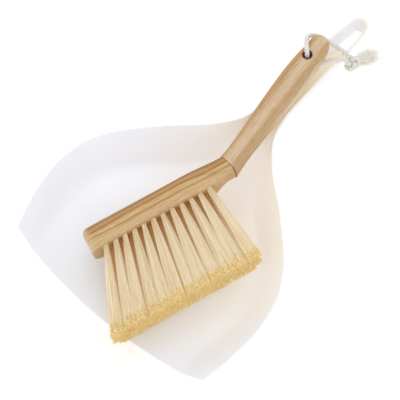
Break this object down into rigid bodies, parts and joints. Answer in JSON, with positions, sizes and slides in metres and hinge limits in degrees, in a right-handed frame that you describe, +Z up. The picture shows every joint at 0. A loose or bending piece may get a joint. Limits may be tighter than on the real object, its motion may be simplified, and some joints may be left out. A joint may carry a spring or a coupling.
{
  "type": "dust pan and brush set",
  "caption": "White dust pan with a trough handle and hanging loop, and a bent bamboo hand brush with pale bristles and a knotted cotton cord, lying on its side in the pan.",
  "frame": {"origin": "on the floor plane, on the pan's symmetry plane, level with the two front corners of the lip", "axes": "+Y from the lip to the pan's handle, +Z up, +X to the right seen from the lip"},
  "size_m": [0.236, 0.3735, 0.0812],
  "materials": {
    "white_plastic": "satin",
    "bamboo": "oiled",
    "dowel_wood": "raw",
    "anchor_steel": "plain",
    "bristle": "natural fibre",
    "cotton": "twisted cotton"
  },
  "bodies": {
    "pan": {"dust_pan": "white_plastic"},
    "brush": {"brush_block": "bamboo", "brush_handle": "bamboo", "handle_dowel": "dowel_wood", "tuft_anchors": "anchor_steel", "tuft_1_01": "bristle", "tuft_1_02": "bristle", "tuft_1_03": "bristle", "tuft_1_04": "bristle", "tuft_1_05": "bristle", "tuft_1_06": "bristle", "tuft_1_07": "bristle", "tuft_1_08": "bristle", "tuft_1_09": "bristle", "tuft_1_10": "bristle", "tuft_1_11": "bristle", "tuft_1_12": "bristle", "tuft_2_01": "bristle", "tuft_2_02": "bristle", "tuft_2_03": "bristle", "tuft_2_04": "bristle", "tuft_2_05": "bristle", "tuft_2_06": "bristle", "tuft_2_07": "bristle", "tuft_2_08": "bristle", "tuft_2_09": "bristle", "tuft_2_10": "bristle", "tuft_2_11": "bristle", "tuft_3_01": "bristle", "tuft_3_02": "bristle", "tuft_3_03": "bristle", "tuft_3_04": "bristle", "tuft_3_05": "bristle", "tuft_3_06": "bristle", "tuft_3_07": "bristle", "tuft_3_08": "bristle", "tuft_3_09": "bristle", "tuft_3_10": "bristle", "tuft_3_11": "bristle", "tuft_3_12": "bristle", "tuft_4_01": "bristle", "tuft_4_02": "bristle", "tuft_4_03": "bristle", "tuft_4_04": "bristle", "tuft_4_05": "bristle", "tuft_4_06": "bristle", "tuft_4_07": "bristle", "tuft_4_08": "bristle", "tuft_4_09": "bristle", "tuft_4_10": "bristle", "tuft_4_11": "bristle", "hang_cord": "cotton", "cord_knot": "cotton", "cord_tassel": "cotton"}
  },
  "joints": [
    {"name": "brush_lift", "type": "slide", "parent": "pan", "child": "brush", "axis": [0, 0, 1], "range_m": [0, 0.25]}
  ]
}
